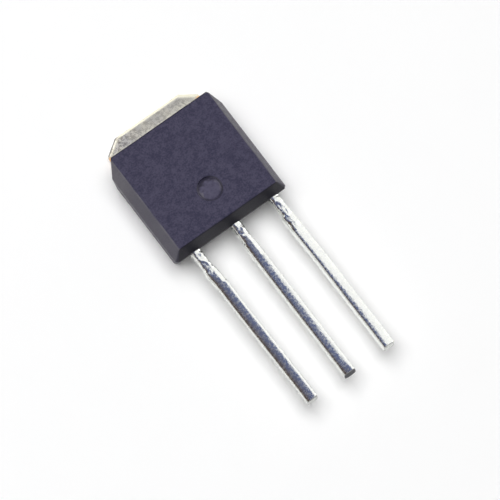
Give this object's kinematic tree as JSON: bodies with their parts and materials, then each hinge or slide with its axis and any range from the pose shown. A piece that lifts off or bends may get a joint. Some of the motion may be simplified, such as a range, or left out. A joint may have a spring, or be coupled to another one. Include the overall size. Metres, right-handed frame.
{
  "type": "power mosfet",
  "caption": "Power MOSFET in a moulded package with a metal heat tab and straight leads for through-hole mounting.",
  "frame": {"origin": "middle of the bare metal face on the back, which the part lies on", "axes": "+X across the leads, towards the source lead; +Y from the lead tips towards the tab; +Z out of the marked front face, up from what the part lies on"},
  "size_m": [0.0065, 0.0164, 0.0023],
  "materials": {
    "mould": "black moulded epoxy, fine matte grain",
    "tinned_copper": "copper with a thin tin coat, semi-bright, scuffed on the tab and wavy on the leads",
    "silicon": "polished chip",
    "solder": "dull solder",
    "bond_wire": "drawn aluminium"
  },
  "bodies": {
    "root": {"drain_tab": "tinned_copper", "gate_lead": "tinned_copper", "source_lead": "tinned_copper", "die_solder": "solder", "silicon_die": "silicon", "gate_wire": "bond_wire", "source_wire_1": "bond_wire", "source_wire_2": "bond_wire", "mould_body": "mould"}
  },
  "joints": []
}
